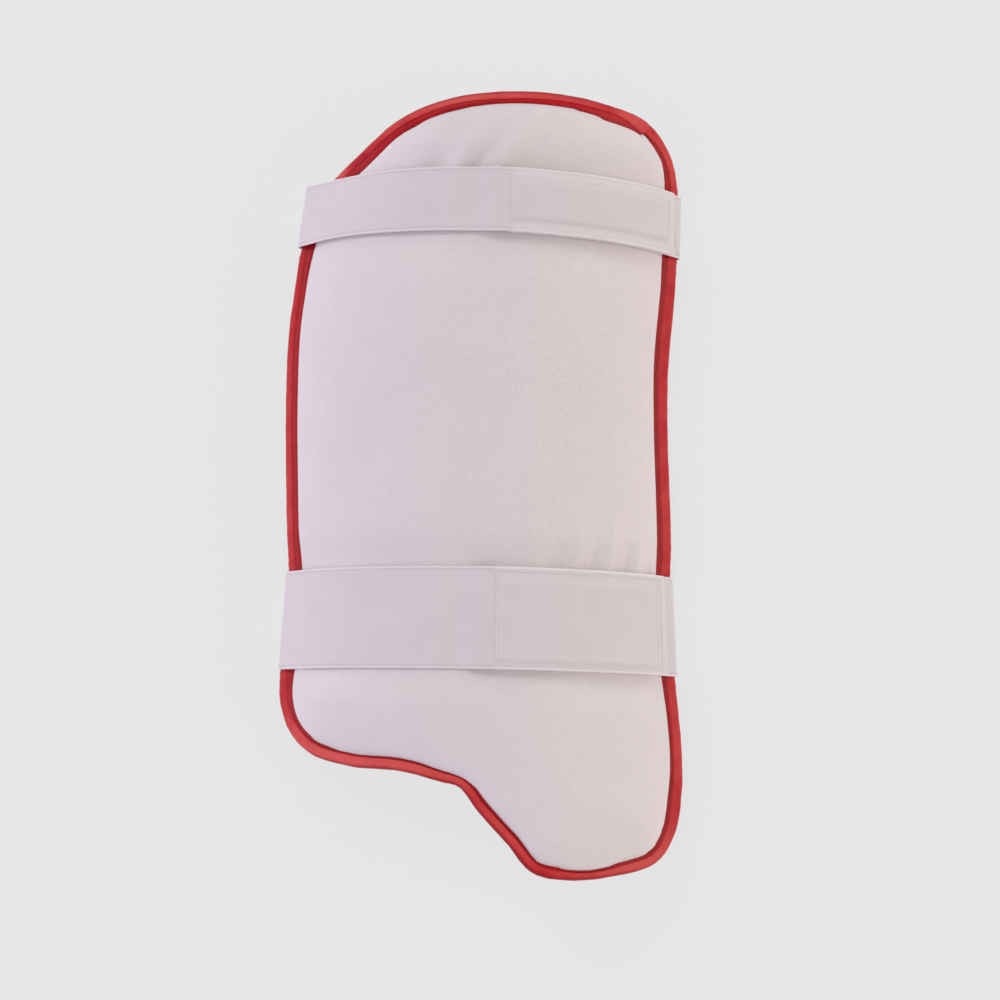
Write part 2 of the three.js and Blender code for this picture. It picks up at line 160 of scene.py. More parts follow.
# Each strap: its level on the panel, how far right of the crown it starts, how far its outer end
# stays from the right fold, the hook patch's margins, its stitch rows' insets, and how far the
# strap's left and right folds lie above its level
STRAPS = {
    "upper": {
        "width": 32 * MM, "middle": 0.351 * PANEL_LENGTH, "lap": 13 * MM, "end_inset": 5 * MM,
        "margins": (5 * MM, 4 * MM), "seams": (0.9 * MM,), "fold_rise": (2.0 * MM, -1.0 * MM)},
    "lower": {
        "width": 50 * MM, "middle": -0.176 * PANEL_LENGTH, "lap": 11 * MM, "end_inset": 6 * MM,
        "margins": (2.5 * MM, 2 * MM), "seams": (0.9 * MM, 2.9 * MM), "fold_rise": (-1.2 * MM, 0.7 * MM)},
}
# Outer edge of the binding, clockwise, as (across, along) shares of the panel's width and length
OUTLINE = np.array([
    (0.030, 0.498), (0.172, 0.500), (0.289, 0.494), (0.375, 0.482), (0.429, 0.450),       # hip end
    (0.451, 0.411), (0.456, 0.354), (0.454, 0.267), (0.442, 0.161), (0.444, 0.082),       # right side
    (0.459, -0.068), (0.458, -0.130), (0.470, -0.215), (0.495, -0.326), (0.499, -0.384),
    (0.484, -0.441), (0.442, -0.477), (0.348, -0.494), (0.234, -0.500), (0.156, -0.491),  # knee lobe
    (0.099, -0.457), (0.027, -0.416), (-0.016, -0.388), (-0.059, -0.382),                 # inner corner
    (-0.159, -0.370), (-0.284, -0.366), (-0.397, -0.350), (-0.458, -0.319),               # inner lobe
    (-0.483, -0.277), (-0.477, -0.211), (-0.470, -0.130), (-0.481, -0.050),               # left side
    (-0.494, 0.112), (-0.493, 0.198), (-0.483, 0.255), (-0.463, 0.325),
    (-0.402, 0.389), (-0.310, 0.430), (-0.213, 0.467), (-0.102, 0.488),                   # left shoulder
])
# Stretch of each side, as shares of the length, whose edge lies straight on the arch's foot line
LEFT_SPAN, RIGHT_SPAN = (-0.30, 0.33), (-0.385, 0.36)
EDGE_PER_ROW = 60


def smooth_step(value):
    """0 below 0, 1 above 1, and 3v^2 - 2v^3 between."""
    value = np.clip(value, 0, 1)
    return value * value * (3 - 2 * value)


def closed_curve(rows, per_row):
    """Centripetal Catmull-Rom: cubic from row to row, with knots the square root of the chord."""
    p0, p1, p2, p3 = (np.roll(rows, shift, axis=0) for shift in (1, 0, -1, -2))
    d0, d1, d2 = (np.sqrt(np.linalg.norm(b - a, axis=1))[:, None]
                  for a, b in ((p0, p1), (p1, p2), (p2, p3)))
    t1 = ((p1 - p0) / d0 - (p2 - p0) / (d0 + d1) + (p2 - p1) / d1) * d1
    t2 = ((p2 - p1) / d1 - (p3 - p1) / (d1 + d2) + (p3 - p2) / d2) * d1
    w = (np.arange(per_row) / per_row)[None, :, None]
    p1, p2, t1, t2 = (value[:, None, :] for value in (p1, p2, t1, t2))
    line = p1 + t1 * w + (3 * (p2 - p1) - 2 * t1 - t2) * w ** 2 + (2 * (p1 - p2) + t1 + t2) * w ** 3
    return line.reshape(-1, 2)


edge = closed_curve(OUTLINE * (PANEL_WIDTH, PANEL_LENGTH), EDGE_PER_ROW)
edge -= (edge.max(axis=0) + edge.min(axis=0)) / 2
tangent = np.roll(edge, -1, axis=0) - np.roll(edge, 1, axis=0)
tangent /= np.linalg.norm(tangent, axis=1)[:, None]
inward = np.stack([tangent[:, 1], -tangent[:, 0]], axis=1)
nose = edge + inward * NOSE_RADIUS
# The nose line's two sides, each from the knee end to the hip end
hip, knee = int(nose[:, 1].argmax()), int(nose[:, 1].argmin())
right_side = nose[(hip + np.arange((knee - hip) % len(nose) + 1)) % len(nose)][::-1]
left_side = nose[(knee + np.arange((hip - knee) % len(nose) + 1)) % len(nose)]


def foot_distance(x, y):
    """Distance from the crown line to the foot of the arch, on the side that x is on."""
    left_y, right_y = (np.clip(y, first * PANEL_LENGTH, last * PANEL_LENGTH)
                       for first, last in (LEFT_SPAN, RIGHT_SPAN))
    on_left = np.interp(left_y, left_side[:, 1], -left_side[:, 0])
    on_right = np.interp(right_y, right_side[:, 1], right_side[:, 0])
    return np.where(x < 0, on_left, on_right)


def arch(x, y):
    """Middle layer of the panel: a parabola, z = foot height + arch height (1 - (x / foot)^2)."""
    return EDGE_HEIGHT + ARCH_HEIGHT * (1 - (x / foot_distance(x, y)) ** 2)


def arch_normal(x, y):
    """Unit normal of the parabola within its cross-section, as (x, 0, z)."""
    slope = -2 * ARCH_HEIGHT * x / foot_distance(x, y) ** 2
    upright = np.stack([-slope, np.zeros_like(slope), np.ones_like(slope)], axis=-1)
    return upright / np.hypot(slope, 1)[..., None]


nose_centre = np.column_stack([nose, arch(nose[:, 0], nose[:, 1])])
nose_normal = arch_normal(nose[:, 0], nose[:, 1])
ahead = nose + inward * NOSE_RADIUS
nose_along = np.column_stack([inward, (arch(ahead[:, 0], ahead[:, 1]) - nose_centre[:, 2]) / NOSE_RADIUS])
nose_along -= nose_normal * (nose_along * nose_normal).sum(axis=1)[:, None]
nose_along /= np.linalg.norm(nose_along, axis=1)[:, None]
LIP_HEIGHT, TUCK = 2.3 * MM, 0.1 * MM  # of the binding's inner edge, over the rim and under the foam
# The tape was folded unevenly: by row of the outline, what shows of it in mm, where its lengthwise
# fold lies as a share from the nose to the inner edge, how deep that fold is in mm, which also sets
# its painted shade, and how much painted highlight the tape outside the fold gets. The step at row 3
# is a pleat.
TAPE_ROWS = np.array([
    (0.0, 7.0, 0.35, 0.30, 0.8), (1.2, 7.1, 0.25, 0.25, 0.7), (2.0, 8.6, 0.20, 0.25, 0.7),
    (3.0, 8.8, 0.85, 0.30, 0.6), (3.15, 6.9, 0.90, 0.60, 0.3), (3.7, 6.8, 0.62, 0.45, 0.3),
    (4.6, 6.1, 0.55, 0.40, 0.5), (6.0, 7.2, 0.60, 0.30, 0.2), (7.5, 7.9, 0.72, 0.25, 0.1),
    (9.0, 7.4, 0.70, 0.25, 0.1), (10.0, 7.5, 0.65, 0.30, 0.2), (11.0, 6.8, 0.70, 0.20, 0.1),
    (13.0, 6.4, 0.75, 0.20, 0.2), (14.4, 7.3, 0.75, 0.25, 0.1), (16.0, 6.6, 0.65, 0.25, 0.6),
    (16.6, 6.8, 0.60, 0.35, 0.8), (17.5, 4.8, 0.45, 0.55, 0.4), (18.6, 6.4, 0.55, 0.35, 0.2),
    (20.0, 6.4, 0.55, 0.50, 0.7), (21.4, 6.3, 0.55, 0.50, 0.4), (22.0, 5.0, 0.60, 0.45, 0.7),
    (24.0, 6.4, 0.68, 0.45, 0.9), (25.0, 6.8, 0.75, 0.40, 1.0), (26.5, 8.0, 0.70, 0.35, 0.6),
    (28.0, 8.7, 0.55, 0.20, 0.1), (31.0, 8.2, 0.50, 0.30, 0.3), (34.0, 8.1, 0.50, 0.30, 0.0),
    (35.5, 8.5, 0.45, 0.30, 0.0), (36.4, 8.5, 0.40, 0.30, 0.9), (36.8, 8.5, 0.40, 0.30, 0.0),
    (38.0, 8.2, 0.35, 0.35, 0.6), (39.5, 7.1, 0.30, 0.40, 1.0), (40.0, 7.0, 0.35, 0.30, 0.8),
])


def along_tape(column):
    """A column of the tape's rows at each place of the edge, easing from row to row as 3v^2 - 2v^3."""
    at = np.arange(len(edge)) / EDGE_PER_ROW
    row = np.searchsorted(TAPE_ROWS[:, 0], at, side="right") - 1
    share = (at - TAPE_ROWS[row, 0]) / (TAPE_ROWS[row + 1, 0] - TAPE_ROWS[row, 0])
    return TAPE_ROWS[row, column] + (TAPE_ROWS[row + 1, column] - TAPE_ROWS[row, column]) * smooth_step(share)


binding_shown = along_tape(1) * MM
lip = (binding_shown - NOSE_RADIUS + LIP_HEIGHT * nose_along[:, 2]) / np.hypot(*nose_along[:, :2].T)
swell_start = binding_shown - TUCK + LIP_HEIGHT * nose_along[:, 2]


def nearest_edge(x, y):
    """Distance from each place to the edge in plan, and where along the edge that is."""
    BATCH = 2000
    places = np.stack([x.ravel(), y.ravel()], axis=1)
    distance, index = np.empty(len(places)), np.empty(len(places), dtype=int)
    for start in range(0, len(places), BATCH):
        gaps = np.linalg.norm(places[start:start + BATCH, None] - edge[None], axis=2)
        index[start:start + BATCH] = gaps.argmin(axis=1)
        distance[start:start + BATCH] = gaps.min(axis=1)
    return distance.reshape(x.shape), index.reshape(x.shape)


def beyond_straps(y):
    """Distance of a level from the nearer strap's edge; within the strap it is negative."""
    return np.minimum(*(np.abs(y - strap["middle"]) - strap["width"] / 2 for strap in STRAPS.values()))


def pressed(y):
    """1 under a strap and up to 1 mm beside it, then falling smoothly to 0."""
    return 1 - smooth_step((beyond_straps(y) - MM) / PRESS_SHOULDER)


def pad_halves(x, y):
    """Half thickness in front and behind: from the rim, a quarter ellipse over the swell's reach.

    Third comes the distance to the edge.
    """
    distance, index = nearest_edge(x, y)
    grown = np.clip((distance - swell_start[index]) / SWELL_REACH, 0, 1)
    swell = np.sqrt(grown * (2 - grown))
    front = RIM_THICKNESS / 2 + (FRONT_SWELL - STRAP_PRESS * pressed(y)) * swell
    return front, RIM_THICKNESS / 2 + BACK_SWELL * swell, distance


def square_grid(size):
    """Plan of the panel on a square grid: each square ring of the grid is the nose line, shrunk.

    The four corners of the square go to the two shoulders and the two lobes, and rings are closer
    together near the edge.
    """
    CORNER_ROWS = (36.5, 43.6, 55.6, 67.2)
    CLOSER = 1.3
    line = np.linspace(-1, 1, size)
    u, v = np.meshgrid(line, line, indexing="ij")
    ring = np.maximum(np.abs(u), np.abs(v))
    safe = np.where(ring == 0, 1, ring)
    s = np.select(
        [(v == ring), (u == ring), (v == -ring)],
        [(u / safe + 1) / 2, 1 + (1 - v / safe) / 2, 2 + (1 - u / safe) / 2], 3 + (v / safe + 1) / 2)
    corners = np.array(CORNER_ROWS + (CORNER_ROWS[0] + len(OUTLINE),)) * EDGE_PER_ROW
    at = np.interp(s, np.arange(5), corners)
    low = np.floor(at).astype(int)
    share = (at - low)[..., None]
    rim = nose[low % len(nose)] * (1 - share) + nose[(low + 1) % len(nose)] * share
    scale = 1 - (1 - ring) ** CLOSER
    return rim[..., 0] * scale, rim[..., 1] * scale


def two_sided_faces(size):
    """Faces of two grids, front and back, joined along their rims."""
    at = np.arange(size * size).reshape(size, size)
    quads = np.stack([at[:-1, :-1], at[1:, :-1], at[1:, 1:], at[:-1, 1:]], axis=-1).reshape(-1, 4)
    loop = np.concatenate([at[:-1, 0], at[-1, :-1], at[:0:-1, -1], at[0, :0:-1]])
    after = np.roll(loop, -1)
    wall = np.stack([loop, loop + size * size, after + size * size, after], axis=1)
    return np.concatenate([quads, quads[:, ::-1] + size * size, wall])


def new_piece(name, points, faces, material, replaced=None):
    """A smooth mesh object from arrays, riding on the guard, that may stand for a CAD node."""
    mesh = bpy.data.meshes.new(name)
    mesh.from_pydata(points.reshape(-1, 3).tolist(), [], faces)
    mesh.polygons.foreach_set("use_smooth", np.ones(len(mesh.polygons), dtype=bool))
    mesh.materials.append(material)
    piece = bpy.data.objects.new(name, mesh)
    bpy.context.scene.collection.objects.link(piece)
    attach(piece, "root")
    if replaced:
        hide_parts(replaced)
    return piece


def pad_surfaces(x, y, front, back):
    """Front and back of the panel: the middle layer, moved along its normal both ways."""
    middle = np.stack([x, y, arch(x, y)], axis=-1)
    normal = arch_normal(x, y)
    return middle + normal * front[..., None], middle - normal * back[..., None]


def cloth_swell(size):
    """How far the cover lifts off the foam where nothing holds it, on a square grid.

    A coarse copy of the panel is blown up a little as cloth, held at its rim, under the straps and
    behind, and what each place moved along its normal is kept, up to a cap.
    """
    PRESSURE, STEPS, CAP = 3.0, 20, 1.6 * MM
    STRETCH_STIFFNESS, BEND_STIFFNESS = 40, 0.5
    HELD_RIM, HELD_EASE = 7 * MM, 8 * MM
    x, y = square_grid(size)
    front, back, distance = pad_halves(x, y)
    surfaces = pad_surfaces(x, y, front, back)
    rest = np.concatenate([surface.reshape(-1, 3) for surface in surfaces])
    mesh = bpy.data.meshes.new("blown_cover")
    mesh.from_pydata(rest.tolist(), [], two_sided_faces(size).tolist())
    blown = bpy.data.objects.new("blown_cover", mesh)
    bpy.context.scene.collection.objects.link(blown)
    hold = 1 - smooth_step((distance.ravel() - HELD_RIM) / HELD_EASE) * (1 - pressed(y).ravel())
    pins = blown.vertex_groups.new(name="held")
    for index, weight in enumerate(np.concatenate([hold, np.ones_like(hold)])):
        pins.add([index], float(weight), "REPLACE")
    cloth = blown.modifiers.new("cloth", "CLOTH")
    cloth.settings.vertex_group_mass = "held"
    cloth.settings.use_pressure = True
    cloth.settings.uniform_pressure_force = PRESSURE
    cloth.settings.tension_stiffness = STRETCH_STIFFNESS
    cloth.settings.compression_stiffness = STRETCH_STIFFNESS
    cloth.settings.bending_stiffness = BEND_STIFFNESS
    cloth.settings.effector_weights.gravity = 0
    cloth.point_cache.frame_end = STEPS
    for step in range(1, STEPS + 1):
        bpy.context.scene.frame_set(step)
    shape = blown.evaluated_get(bpy.context.evaluated_depsgraph_get()).data
    moved = np.empty(len(rest) * 3)
    shape.vertices.foreach_get("co", moved)
    bpy.context.scene.frame_set(1)
    bpy.data.objects.remove(blown)
    lift = ((moved.reshape(-1, 3) - rest)[:size * size] * arch_normal(x, y).reshape(-1, 3)).sum(axis=1)
    return np.clip(lift, -CAP, CAP).reshape(size, size)


def on_finer_grid(values, size):
    """Bilinear reading of a square grid of values on a finer one."""
    at = np.linspace(0, len(values) - 1, size)
    low = np.minimum(np.floor(at).astype(int), len(values) - 2)
    share = at - low
    rows = values[low] * (1 - share)[:, None] + values[low + 1] * share[:, None]
    return rows[:, low] * (1 - share) + rows[:, low + 1] * share


def cover_waves(x, y):
    """Slack in the cover: a dozen crossing sine waves, 35 to 90 mm long, with fixed random phases."""
    WAVES, HEIGHT = 12, 0.09 * MM
    draw = np.random.default_rng(11)
    length = draw.uniform(35, 90, WAVES) * MM
    heading, phase = draw.uniform(0, math.pi, WAVES), draw.uniform(0, 2 * math.pi, WAVES)
    total = np.zeros_like(x)
    for size, angle, start in zip(length, heading, phase):
        total += HEIGHT * np.sin(2 * math.pi * (x * math.cos(angle) + y * math.sin(angle)) / size + start)
    return total


def strap_puckers(x, y):
    """Upright puckers above the lower strap, right of the crown, and slanting ones above the upper.

    Each is a bell across, leans by its share of the height over the strap, and fades upwards.
    """
    UNDER_STRAP = 4 * MM
    PUCKERS = (  # strap, across, lean, height, half width and length, in mm but for the lean
        ("lower", 45, 0.0, 1.3, 2.4, 22), ("lower", 53, 0.0, -1.0, 2.2, 18),
        ("lower", 60, 0.0, 1.4, 2.4, 25), ("lower", 68, 0.0, -1.1, 2.0, 20),
        ("lower", 74, 0.0, 1.3, 2.2, 18), ("lower", 80, 0.0, -0.8, 1.9, 14),
        ("lower", 36, 0.0, -0.9, 2.8, 16), ("lower", 27, 0.0, 0.7, 3.2, 14),
        ("upper", 6, 0.5, 1.5, 3.6, 44), ("upper", -4, 0.6, -1.4, 3.6, 46),
        ("upper", -13, 0.6, 1.5, 3.8, 44), ("upper", 17, 0.4, -1.1, 4.2, 24),
        ("upper", -24, 0.6, -1.0, 4.6, 28),
    )
    total = np.zeros_like(x)
    for name, across, lean, height, half_width, length in PUCKERS:
        top = STRAPS[name]["middle"] + STRAPS[name]["width"] / 2
        above = y - top
        hump = np.exp(-((x - across * MM - lean * above) / (half_width * MM)) ** 2)
        fade = np.where(above > 0, np.exp(-(above / (length * MM)) ** 2), 1.0)
        total += height * MM * hump * fade * (above > -UNDER_STRAP)
    return total


# Cotton twill, woven and lightly raised: matt, with a soft sheen where it turns away. Its thread
# is 0.3 mm, too fine to show from here, so the weave is drawn at 0.9 mm and kept shallow.
COVER_LIGHT, COVER_DARK = "#EAE2E4", "#E1D8DB"
THREAD, THREAD_HEIGHT = 0.9 * MM, 0.1 * MM
STAIN_SIZE, SLUB_SIZE, SLUB_HEIGHT = 62.5 * MM, 2.2 * MM, 0.09 * MM


def woven_height(tree, place, pitch_across, pitch_along):
    """A weave: sine wave across times sine wave along, with a thread's pitch each."""
    turns = add_node(tree, "ShaderNodeVectorMath", operation="MULTIPLY", inputs={"Vector": place})
    turns.inputs[1].default_value = (2 * math.pi / pitch_across, 2 * math.pi / pitch_along, 0)
    split = add_node(tree, "ShaderNodeSeparateXYZ", {"Vector": turns.outputs["Vector"]})
    waves = [add_node(tree, "ShaderNodeMath", {"Value": split.outputs[axis]}, operation="SINE")
             for axis in "XY"]
    product = add_node(tree, "ShaderNodeMath", {"Value": waves[0].outputs["Value"]}, operation="MULTIPLY")
    tree.links.new(waves[1].outputs["Value"], product.inputs[1])
    return product.outputs["Value"]


cover, tree = new_material("woven_cotton_cover")
place = add_node(tree, "ShaderNodeTexCoord").outputs["Object"]
stain = add_node(tree, "ShaderNodeTexNoise", {
    "Vector": place, "Scale": 1 / STAIN_SIZE, "Detail": 3.0, "Roughness": 0.5})
tone = add_node(tree, "ShaderNodeMix", data_type="RGBA")
tree.links.new(stain.outputs["Fac"], tone.inputs[0])
tone.inputs[6].default_value = linear(COVER_DARK)
tone.inputs[7].default_value = linear(COVER_LIGHT)
slub = add_node(tree, "ShaderNodeTexNoise", {"Vector": place, "Scale": 1 / SLUB_SIZE, "Detail": 2.0})
fleck = add_node(tree, "ShaderNodeMapRange", {"Value": slub.outputs["Fac"], "To Min": 0.96, "To Max": 1.03})
grain = add_node(tree, "ShaderNodeVectorMath", {"Scale": fleck.outputs["Result"]}, operation="SCALE")
tree.links.new(tone.outputs[2], grain.inputs[0])
weave = add_node(tree, "ShaderNodeBump", {
    "Height": woven_height(tree, place, THREAD, THREAD), "Strength": 0.8, "Distance": THREAD_HEIGHT})
rough = add_node(tree, "ShaderNodeBump", {
    "Height": slub.outputs["Fac"], "Strength": 0.5, "Distance": SLUB_HEIGHT,
    "Normal": weave.outputs["Normal"]})
finish_material(tree, add_node(tree, "ShaderNodeBsdfPrincipled", {
    "Base Color": grain.outputs["Vector"], "Roughness": 0.92, "Specular IOR Level": 0.25,
    "Sheen Weight": 0.2, "Sheen Roughness": 0.5, "Normal": rough.outputs["Normal"]}).outputs["BSDF"])

PAD_GRID, CLOTH_GRID = 161, 81
SMOOTH_RIM, SMOOTH_EASE = 7 * MM, 12 * MM
x, y = square_grid(PAD_GRID)
front, back, distance = pad_halves(x, y)
free = smooth_step((distance - SMOOTH_RIM) / SMOOTH_EASE)
blown = on_finer_grid(cloth_swell(CLOTH_GRID), PAD_GRID)
front += free * (blown * (1 - pressed(y)) + cover_waves(x, y) + strap_puckers(x, y))
panel = new_piece("padded_panel", np.stack(pad_surfaces(x, y, front, back)),
                  two_sided_faces(PAD_GRID).tolist(), cover, "pad_body")

# Edge binding
# One long bias-cut tape of coated satin cloth, folded over the rim in a round C and sewn through
# near its inner edge all the way round. It puckers a little where the edge turns sharply.
RIM_FACE, SLOT_NOSE = 1.85 * MM, 1.6 * MM
STATION_STEP = 2
# Places of a section's points, as shares from the nose to the inner edge, and round the nose
DOME_SHARES = np.array([1.0, 0.98, 0.94, 0.9, 0.86, 0.8, 0.7, 0.6, 0.52, 0.45, 0.38, 0.31, 0.22, 0.12])
NOSE_ANGLES = np.radians(np.linspace(90, -90, 11))
SEAM_SHARE, SEAM_WIDTH, SEAM_DEPTH = 0.86, 0.05, 0.12 * MM
FOLD_WIDTH = 0.13
BULGE_HEIGHT, BULGE_PLACE, BULGE_WIDTH = 0.3 * MM, 2.2 * MM, 1.6 * MM


def run_along(points):
    """Length run from the first point to each, along a closed line."""
    steps = np.linalg.norm(np.roll(points, -1, axis=0) - points, axis=1)
    return np.concatenate([[0], np.cumsum(steps)[:-1]]), steps.sum()


def ring_faces(rows, size, closed):
    """Faces of a body through rings of points, whose ends join up or are capped across."""
    at = np.arange(rows * size).reshape(rows, size)
    after = np.roll(at, -1, axis=0) if closed else at[1:]
    here = at if closed else at[:-1]
    sides = np.stack([here, np.roll(here, -1, axis=1), np.roll(after, -1, axis=1), after], axis=-1)
    sides = sides.reshape(-1, 4)
    if closed:
        return sides
    across = size - 1 - np.arange(size // 2)
    i = np.arange(size // 2 - 1)
    first = np.stack([at[0, i], at[0, across[i]], at[0, across[i] - 1], at[0, i + 1]], axis=1)
    last = np.stack([at[-1, i], at[-1, i + 1], at[-1, across[i] - 1], at[-1, across[i]]], axis=1)
    return np.concatenate([sides, first, last])


def bell(value, width):
    """1 at 0, falling as exp(-(v / width)^2)."""
    return np.exp(-(value / width) ** 2)


def under_strap(y):
    """1 within the straps' widths, and 0 from 3 mm beside them."""
    return 1 - smooth_step(beyond_straps(y) / (3 * MM))


def binding_creases(along, length, share):
    """Slack of the tape: slanting sine waves, 5 to 23 mm long, with fixed random phases."""
    WAVES, HEIGHT = 9, 0.02 * MM
    draw = np.random.default_rng(5)
    wavelengths, slants = draw.uniform(5, 23, WAVES) * MM, draw.uniform(-2, 2, WAVES)
    total = np.zeros((len(along), len(share)))
    for wavelength, slant, phase in zip(wavelengths, slants, draw.uniform(0, 2 * math.pi, WAVES)):
        turn = 2 * math.pi * round(length / wavelength) * along[:, None] / length
        total += HEIGHT * np.sin(turn + slant * share[None] + phase)
    return total


def folded_tape():
    """The binding's rings: a dome from the lip to the nose, a half circle, and the same back.

    The dome stands above the lip by the rest of the nose's radius times sqrt(1 - share^2.6), less
    a bell each for the seam's groove and the fold. Slack, creases in tight bends and the bulge
    just beside a strap that squeezes the tape widen or narrow the whole section.
    """
    DOME_POWER = 2.6
    CREASE_PITCH, CREASE_HEIGHT, CREASE_BEND, TIGHT = 3.4 * MM, 0.05 * MM, 0.6, 30 * MM
    BEND_REACH = 8
    pick = np.arange(0, len(edge), STATION_STEP)
    dome = (NOSE_RADIUS - LIP_HEIGHT) * np.sqrt(1 - DOME_SHARES ** DOME_POWER)
    seam = SEAM_DEPTH * bell(DOME_SHARES - SEAM_SHARE, SEAM_WIDTH)
    fold = fold_depth[pick, None] * bell(DOME_SHARES - fold_share[pick, None], FOLD_WIDTH)
    inwards = lip[pick, None] * DOME_SHARES
    upwards = LIP_HEIGHT + dome - seam - fold
    size = (len(pick), len(NOSE_ANGLES))
    round_in = np.broadcast_to(-NOSE_RADIUS * np.cos(NOSE_ANGLES), size)
    round_up = np.broadcast_to(NOSE_RADIUS * np.sin(NOSE_ANGLES), size)
    out_in = np.concatenate([inwards, round_in, inwards[:, ::-1]], axis=1)
    out_up = np.concatenate([upwards, round_up, -upwards[:, ::-1]], axis=1)
    along, length = run_along(edge)
    turned_by, run_by = (np.roll(line, -BEND_REACH, axis=0) - np.roll(line, BEND_REACH, axis=0)
                         for line in (tangent, edge))
    bend = np.linalg.norm(turned_by, axis=1) / np.linalg.norm(run_by, axis=1)
    tight = smooth_step(bend[pick] * TIGHT - CREASE_BEND)
    share = np.linspace(0, math.pi, out_in.shape[1])
    waves = binding_creases(along[pick], length, share)
    crease = np.sin(2 * math.pi * along[pick] / CREASE_PITCH)[:, None] * tight[:, None] * CREASE_HEIGHT
    bulge = BULGE_HEIGHT * bell(beyond_straps(edge[pick, 1]) - BULGE_PLACE, BULGE_WIDTH)[:, None]
    loose = (1 - under_strap(edge[pick, 1]))[:, None]
    grow = 1 + loose * (waves + crease * np.sqrt(np.sin(share)) + bulge) / NOSE_RADIUS
    inner_lip, inner_rim = lip[pick] - MM, 0 * lip[pick]
    inner_in = np.stack([inner_lip, inner_rim, inner_rim - SLOT_NOSE, inner_rim, inner_lip], axis=1)
    inner_up = np.array([-RIM_FACE, -RIM_FACE, 0, RIM_FACE, RIM_FACE]) + 0 * inner_in
    section_in = np.concatenate([out_in * grow, inner_in], axis=1)
    section_up = np.concatenate([out_up * grow, inner_up], axis=1)
    return (nose_centre[pick, None] + nose_along[pick, None] * section_in[..., None]
            + nose_normal[pick, None] * section_up[..., None])


# Polyester satin with a thin coating: a soft broad gloss over a fine rib, drawn at 0.8 mm, as
# coarse as it shows. The red is painted darker as shade in the folds, towards the pad and below,
# and painted lighter as highlight outside the folds, with random rubbed patches over it all.
RED, RED_HIGHLIGHT, RED_SHADE = "#B91822", "#D8524E", "#820A10"
RIB, RIB_HEIGHT = 0.8 * MM, 0.05 * MM
RUBS_PER_METRE = 90.0
satin, tree = new_material("coated_satin_binding")
place = add_node(tree, "ShaderNodeTexCoord").outputs["Object"]
rub_and_highlight = add_node(tree, "ShaderNodeTexNoise", {
    "Vector": place, "Scale": RUBS_PER_METRE, "Detail": 4.0, "Roughness": 0.6})
painted_light_and_shade = add_node(tree, "ShaderNodeAttribute", attribute_name="painted_light_and_shade").outputs["Fac"]
uneven = add_node(tree, "ShaderNodeMapRange", {"Value": rub_and_highlight.outputs["Fac"], "To Min": -0.2, "To Max": 0.2})
wear_and_light = add_node(tree, "ShaderNodeMath", {"Value": uneven.outputs["Result"]}, operation="ADD")
tree.links.new(painted_light_and_shade, wear_and_light.inputs[1])
ramp = add_node(tree, "ShaderNodeValToRGB", {"Fac": wear_and_light.outputs["Value"]})
shade_stop, highlight_stop = ramp.color_ramp.elements
shade_stop.position, highlight_stop.position = 0.1, 0.9
shade_stop.color, highlight_stop.color = linear(RED_SHADE), linear(RED_HIGHLIGHT)
ramp.color_ramp.elements.new(0.5).color = linear(RED)
rib = add_node(tree, "ShaderNodeBump", {
    "Height": woven_height(tree, place, RIB, RIB), "Strength": 0.5, "Distance": RIB_HEIGHT})
finish_material(tree, add_node(tree, "ShaderNodeBsdfPrincipled", {
    "Base Color": ramp.outputs["Color"], "Roughness": 0.3, "Specular IOR Level": 0.16,
    "Normal": rib.outputs["Normal"]}).outputs["BSDF"])


def binding_light_and_shade():
    """How much painted light and shade each point of the tape gets, from 0, dark, to 1, light.

    The top is at 0.5, with painted highlight outside the fold by its share, and painted shade by a bell
    in the fold and towards the pad. Round the nose it falls to the painted shade of what is below, the
    slot included.
    """
    EVEN, MOST_HIGHLIGHT, NOSE_LOW, BELOW = 0.5, 0.45, 0.12, 0.2
    OUTSIDE_FROM, OUTSIDE_EASE, FOLD_SHADE_WIDTH = 0.12, 0.16, 0.1
    PAD_SHADE, PAD_FROM, PAD_EASE = 0.18, 0.5, 0.4
    TURN_FROM, TURN_EASE = math.radians(75), math.radians(60)
    SLOT_POINTS = 5
    share, depth, rub_and_highlight = (values[::STATION_STEP, None] for values in (fold_share, fold_depth / MM, outside_highlight))
    past_fold = DOME_SHARES - share
    outside = 1 - smooth_step((past_fold + OUTSIDE_FROM) / OUTSIDE_EASE)
    top = EVEN + MOST_HIGHLIGHT * rub_and_highlight * outside - depth * bell(past_fold, FOLD_SHADE_WIDTH)
    top = top - PAD_SHADE * smooth_step((DOME_SHARES - PAD_FROM) / PAD_EASE)
    turn_down = smooth_step((TURN_FROM - NOSE_ANGLES) / TURN_EASE)
    round_nose = top[:, -1:] * (1 - turn_down) + NOSE_LOW * turn_down
    below = np.full((len(top), len(DOME_SHARES) + SLOT_POINTS), BELOW)
    return np.concatenate([top, round_nose, below], axis=1)


# Painted light on the tape: a painted highlight outside the fold, and painted shade in the fold, towards the
# pad, round the nose and below.
fold_share, fold_depth, outside_highlight = along_tape(2), along_tape(3) * MM, along_tape(4)
tape_rings = folded_tape()
binding = new_piece("edge_binding_tape", tape_rings, ring_faces(*tape_rings.shape[:2], closed=True).tolist(),
                    satin, "edge_binding")
binding.data.attributes.new("painted_light_and_shade", "FLOAT", "POINT").data.foreach_set("value", binding_light_and_shade().ravel())

# Binding stitches
# One row of lock stitch in red polyester thread, sunk in the groove near the binding's inner edge.
# It runs all the way round, and where a strap covers it, it is left out.
STITCH_PITCH, STITCH_LENGTH, STITCH_RADIUS = 2.8 * MM, 2.0 * MM, 0.13 * MM
THREAD_RED = "#B3161E"


def turned(values, index):
    """Rows of values at fractional places along a closed line."""
    low = np.floor(index).astype(int)
    share = (index - low)[:, None]
    return values[low % len(values)] * (1 - share) + values[(low + 1) % len(values)] * share


